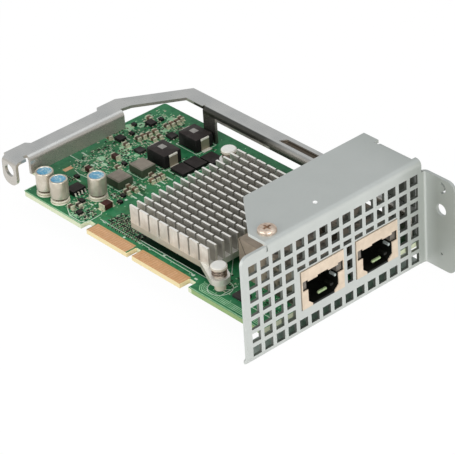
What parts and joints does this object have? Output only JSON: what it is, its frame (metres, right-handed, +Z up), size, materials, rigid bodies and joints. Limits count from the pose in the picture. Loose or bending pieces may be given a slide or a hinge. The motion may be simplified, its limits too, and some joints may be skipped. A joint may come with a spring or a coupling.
{
  "type": "ethernet adapter card",
  "caption": "Network adapter card: a green board with a pin-fin cooler and shielded jacks, behind a perforated folded front plate with a cover flange and an ear, under a folded rail frame.",
  "frame": {"origin": "centre of the screw hole in the front plate's ear, halfway through the sheet", "axes": "+X runs along the card and out of the front plate, +Y from the edge contacts to the far rail, +Z up from the board's component side"},
  "size_m": [0.1304, 0.0723, 0.0376],
  "materials": {
    "board": "green solder mask over glass-fibre laminate, satin gloss",
    "contact_gold": "gold-plated copper, satin",
    "plate_sheet": "zinc-plated steel sheet, fine satin",
    "rail_sheet": "zinc-plated steel sheet, half gloss",
    "screw_steel": "plated steel with a warm tint",
    "jack_shell": "plated copper alloy with a warm tint, satin",
    "jack_moulding": "black moulded plastic",
    "light_pipe": "clear grey moulded plastic",
    "jack_wire": "gold-plated spring wire",
    "chip_black": "black moulding compound, matte",
    "pad_grey": "grey thermal pad, soft",
    "cooler_metal": "plain sawn aluminium, satin",
    "pin_nylon": "white nylon",
    "spring_steel": "bright spring wire",
    "can_metal": "bare drawn aluminium with a blue print field on top",
    "base_cream": "cream moulded plastic, satin gloss",
    "inductor_black": "black pressed powder, matte",
    "clip_tin": "tinned copper strip",
    "filter_taupe": "taupe pressed powder, matte",
    "tantalum_brown": "dark brown moulded resin",
    "ceramic_tan": "tan fired ceramic with tinned ends",
    "resistor_black": "black film on ceramic with tinned ends"
  },
  "bodies": {
    "root": {"capacitor_base_1": "base_cream", "capacitor_base_2": "base_cream", "capacitor_base_3": "base_cream", "capacitor_can_1": "can_metal", "capacitor_can_2": "can_metal", "capacitor_can_3": "can_metal", "ceramic_capacitors": "ceramic_tan", "circuit_board": "board", "controller_chip": "chip_black", "cover_screw": "screw_steel", "edge_contacts": "contact_gold", "filter_inductor_1": "filter_taupe", "filter_inductor_2": "filter_taupe", "front_plate": "plate_sheet", "heatsink": "cooler_metal", "inductor_clips_1": "clip_tin", "inductor_clips_2": "clip_tin", "jack_housing_1": "jack_moulding", "jack_housing_2": "jack_moulding", "jack_light_pipes_1": "light_pipe", "jack_light_pipes_2": "light_pipe", "jack_shield_1": "jack_shell", "jack_shield_2": "jack_shell", "jack_wires_1": "jack_wire", "jack_wires_2": "jack_wire", "memory_chip": "chip_black", "memory_chip_leads": "clip_tin", "pin_spring_far": "spring_steel", "pin_spring_near": "spring_steel", "power_inductor_1": "inductor_black", "power_inductor_2": "inductor_black", "power_stage_1": "chip_black", "power_stage_2": "chip_black", "power_stage_3": "chip_black", "push_pin_far": "pin_nylon", "push_pin_near": "pin_nylon", "rail_frame": "rail_sheet", "resistors": "resistor_black", "small_chip_1": "chip_black", "small_chip_2": "chip_black", "small_chip_3": "chip_black", "small_chip_4": "chip_black", "small_chip_5": "chip_black", "small_chip_6": "chip_black", "tantalum_capacitor_1": "tantalum_brown", "tantalum_capacitor_2": "tantalum_brown", "tantalum_capacitor_3": "tantalum_brown", "thermal_pad": "pad_grey", "transistors": "chip_black"}
  },
  "joints": []
}
